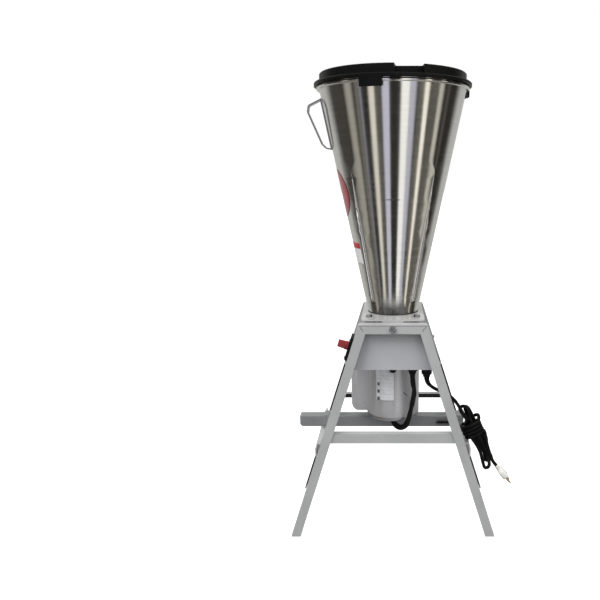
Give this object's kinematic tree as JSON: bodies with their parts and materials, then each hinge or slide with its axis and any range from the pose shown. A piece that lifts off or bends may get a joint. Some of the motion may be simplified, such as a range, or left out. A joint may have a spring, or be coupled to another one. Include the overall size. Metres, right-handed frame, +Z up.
{
  "type": "tilting blender",
  "caption": "Tilting floor blender: cone-shaped steel bowl with lid over a motor, swung between angle iron side frames.",
  "frame": {"origin": "on the floor under the middle of the stand", "axes": "+Z up, +X to the rear, -X to the front with the handle and the switch, Y along the tilt pivots"},
  "size_m": [0.5489, 0.3668, 1.106],
  "materials": {
    "stand_paint": "light grey satin paint",
    "plate_paint": "light grey gloss paint",
    "bar_paint": "grey satin paint",
    "stainless": "brushed stainless",
    "zinc_steel": "bright zinc plating",
    "turned_steel": "turned and ground",
    "core_steel": "stacked laminations",
    "bronze": "plain bronze",
    "motor_paint": "silver grey paint",
    "motor_alloy": "cast and painted silver",
    "capacitor_can": "drawn can",
    "spring_steel": "black oxide",
    "lid_plastic": "black moulding",
    "knob_plastic": "red moulding",
    "switch_plastic": "black moulding",
    "block_plastic": "black moulding",
    "fan_plastic": "black moulding",
    "gland_plastic": "black moulding",
    "cord_rubber": "black sheath",
    "plug_plastic": "white moulding, plated pins",
    "sleeve": "black sleeve",
    "seal_rubber": "black rubber"
  },
  "bodies": {
    "stand": {"side_frame_near": "stand_paint", "side_frame_far": "stand_paint", "tie_bar_near": "stand_paint", "tie_bar_far": "stand_paint", "crossbar_front": "stand_paint", "crossbar_rear": "stand_paint", "apron_near": "stand_paint", "apron_far": "stand_paint", "apron_screws": "zinc_steel", "pivot_washers": "zinc_steel", "pivot_bolts": "zinc_steel", "pivot_spacers": "zinc_steel", "pivot_shims": "zinc_steel", "pivot_nuts": "zinc_steel", "switch_plate": "switch_plastic", "switch_body": "block_plastic", "switch_screws": "zinc_steel", "bar_guides": "bar_paint", "cord_gland": "gland_plastic", "gland_nut": "gland_plastic", "power_cord": "cord_rubber", "cord_hank": "cord_rubber", "cord_tail": "cord_rubber", "plug": "plug_plastic", "harness_grommet": "gland_plastic", "harness_lead": "sleeve"},
    "tilt_unit": {"tilt_plate": "plate_paint", "pivot_bushes": "bronze", "plate_bolts": "zinc_steel", "bowl": "stainless", "bowl_gasket": "seal_rubber", "bowl_handle": "stainless", "seal_housing": "turned_steel", "ring_nut": "turned_steel", "shaft_seal": "seal_rubber", "motor_shell": "motor_paint", "motor_lower_bell": "motor_alloy", "motor_upper_bell": "motor_alloy", "stator": "core_steel", "bearings": "turned_steel", "capacitor_cover": "motor_paint", "capacitor": "capacitor_can", "harness": "sleeve", "motor_plug": "gland_plastic"},
    "rotor": {"shaft": "turned_steel", "rotor_core": "core_steel", "cooling_fan": "fan_plastic", "blade_hub": "turned_steel", "blade": "turned_steel", "blade_nut": "turned_steel"},
    "lid": {"lid": "lid_plastic"},
    "knob": {"knob": "knob_plastic"},
    "lock_bar": {"lock_bar": "bar_paint", "spring_pin": "turned_steel", "lock_spring": "spring_steel"}
  },
  "joints": [
    {"name": "tilt", "type": "hinge", "parent": "stand", "child": "tilt_unit", "pos_m": [0, 0, 0.5304], "axis": [0, -1, 0], "range_deg": [0, 90]},
    {"name": "rotor_spin", "type": "hinge", "parent": "tilt_unit", "child": "rotor", "pos_m": [0, 0, 0.5], "axis": [0, 0, 1], "continuous": true},
    {"name": "lid_lift", "type": "slide", "parent": "tilt_unit", "child": "lid", "axis": [0, 0, 1], "range_m": [0, 0.4]},
    {"name": "knob_turn", "type": "hinge", "parent": "stand", "child": "knob", "pos_m": [-0.09961, -0.099, 0.48], "axis": [-0.9527, 0, 0.3038], "range_deg": [0, 90]},
    {"name": "bar_slide", "type": "slide", "parent": "stand", "child": "lock_bar", "axis": [-1, 0, 0], "range_m": [0, 0.012], "stiffness_N_per_m": 400, "springref_m": -0.01}
  ]
}
